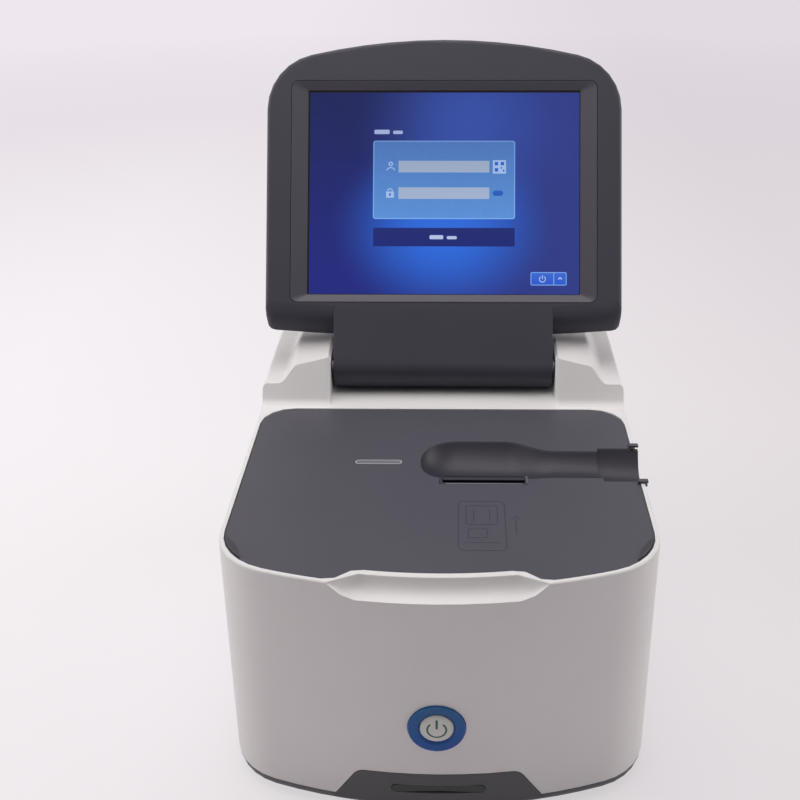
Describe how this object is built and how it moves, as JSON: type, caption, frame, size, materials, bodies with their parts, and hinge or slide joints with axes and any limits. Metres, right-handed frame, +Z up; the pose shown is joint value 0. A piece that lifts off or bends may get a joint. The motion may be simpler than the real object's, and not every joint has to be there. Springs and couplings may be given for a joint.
{
  "type": "blood gas analyzer",
  "caption": "Portable bench blood gas analyzer: pale moulded case with dark deck, sample well, cartridge slot, round power switch and a tilting touch display on a barrel hinge",
  "frame": {"origin": "middle of the footprint of the whole part, on the surface that its feet stand on", "axes": "+Z up, front towards -Y, +X to the viewer's right when facing the front"},
  "size_m": [0.2308, 0.3368, 0.3488],
  "materials": {
    "white_abs": "moulded ABS, fine matt grain",
    "slate_abs": "moulded ABS, fine matt grain",
    "dark_abs": "moulded ABS, satin",
    "base_abs": "moulded ABS, coarse grain",
    "surround_abs": "moulded ABS, satin",
    "frosted_lens": "frosted polycarbonate",
    "blue_lens": "tinted polycarbonate",
    "cap_plastic": "satin moulded",
    "smoked_window": "polished smoked acrylic",
    "screen_glass": "touch glass over a lit panel",
    "zinc_steel": "zinc plated",
    "aluminium": "machined",
    "black_rubber": "moulded",
    "fibreglass_board": "solder resist",
    "black_part": "moulded nylon",
    "acetal": "machined acetal",
    "thermal_paper": "coated paper",
    "battery_wrap": "shrink film"
  },
  "bodies": {
    "case": {"analysis_chassis": "zinc_steel", "base_tray": "base_abs", "battery_door": "base_abs", "battery_pack": "battery_wrap", "cartridge_guide": "dark_abs", "case_screw_front_left": "zinc_steel", "case_screw_front_right": "zinc_steel", "case_screw_rear_left": "zinc_steel", "case_screw_rear_right": "zinc_steel", "clamp_motor": "black_part", "clamp_rod_left": "zinc_steel", "clamp_rod_right": "zinc_steel", "corner_rest_left": "black_rubber", "corner_rest_right": "black_rubber", "dc_inlet": "black_part", "deck_panel": "slate_abs", "drive_end_plate": "aluminium", "fan_frame": "black_part", "foot_front_left": "black_rubber", "foot_front_right": "black_rubber", "foot_rear_left": "black_rubber", "foot_rear_right": "black_rubber", "heater_block": "aluminium", "hinge_bracket_left": "zinc_steel", "hinge_bracket_right": "zinc_steel", "hinge_pin_left": "zinc_steel", "hinge_pin_right": "zinc_steel", "main_board": "fibreglass_board", "network_socket": "zinc_steel", "plunger_motor": "black_part", "power_board": "fibreglass_board", "power_light_ring": "blue_lens", "power_switch_board": "fibreglass_board", "print_head": "aluminium", "printer_bucket": "dark_abs", "printer_motor": "black_part", "reader_module": "black_part", "reader_window": "smoked_window", "speaker": "black_part", "status_lens": "frosted_lens", "upper_housing": "white_abs", "usb_socket": "zinc_steel"},
    "display": {"display_bezel": "dark_abs", "display_back_cover": "dark_abs", "screen_surround": "surround_abs", "touch_glass": "screen_glass", "lcd_module": "aluminium", "display_board": "fibreglass_board", "hinge_leaf_left": "zinc_steel", "hinge_leaf_right": "zinc_steel"},
    "power_button": {"power_button_cap": "cap_plastic"},
    "shutter": {"slot_shutter": "slate_abs"},
    "clamp": {"clamp_carriage": "acetal", "contact_block": "black_part"},
    "lead_screw": {"lead_screw": "zinc_steel"},
    "plunger": {"plunger_rod": "zinc_steel"},
    "platen": {"platen_roller": "black_rubber"},
    "roll": {"paper_roll": "thermal_paper"},
    "printer_lid": {"paper_door": "white_abs"},
    "rotor": {"fan_rotor": "black_part"}
  },
  "joints": [
    {"name": "display_tilt", "type": "hinge", "parent": "case", "child": "display", "pos_m": [0, 0.05659, 0.1644], "axis": [1, 0, 0], "range_deg": [-8, 120.6]},
    {"name": "power_button_press", "type": "slide", "parent": "case", "child": "power_button", "axis": [0, 1, 0], "range_m": [0, 0.0012], "stiffness_N_per_m": 600},
    {"name": "slot_shutter_swing", "type": "hinge", "parent": "case", "child": "shutter", "pos_m": [0.024, -0.06101, 0.1457], "axis": [1, 0, 0], "range_deg": [0, 80], "stiffness_Nm_per_rad": 0.002},
    {"name": "clamp_slide", "type": "slide", "parent": "case", "child": "clamp", "axis": [0, 1, 0], "range_m": [0, 0.004]},
    {"name": "lead_screw_turn", "type": "hinge", "parent": "case", "child": "lead_screw", "pos_m": [0.024, -0.08991, 0.093], "axis": [0, 1, 0], "range_deg": [0, 361]},
    {"name": "plunger_slide", "type": "slide", "parent": "case", "child": "plunger", "axis": [-1, 0, 0], "range_m": [0, 0.0055]},
    {"name": "platen_spin", "type": "hinge", "parent": "case", "child": "platen", "pos_m": [0, 0.08799, 0.151], "axis": [1, 0, 0], "continuous": true},
    {"name": "paper_roll_spin", "type": "hinge", "parent": "case", "child": "roll", "pos_m": [0, 0.10659, 0.128], "axis": [1, 0, 0], "continuous": true},
    {"name": "paper_door_swing", "type": "hinge", "parent": "case", "child": "printer_lid", "pos_m": [0, 0.12659, 0.1581], "axis": [-1, 0, 0], "range_deg": [0, 85]},
    {"name": "fan_spin", "type": "hinge", "parent": "case", "child": "rotor", "pos_m": [-0.0565, 0.1267, 0.085], "axis": [0, 1, 0], "continuous": true}
  ],
  "couplings": [
    {"joint": "lead_screw_turn", "follows": "clamp_slide", "rad_per_m": 1570.8}
  ]
}
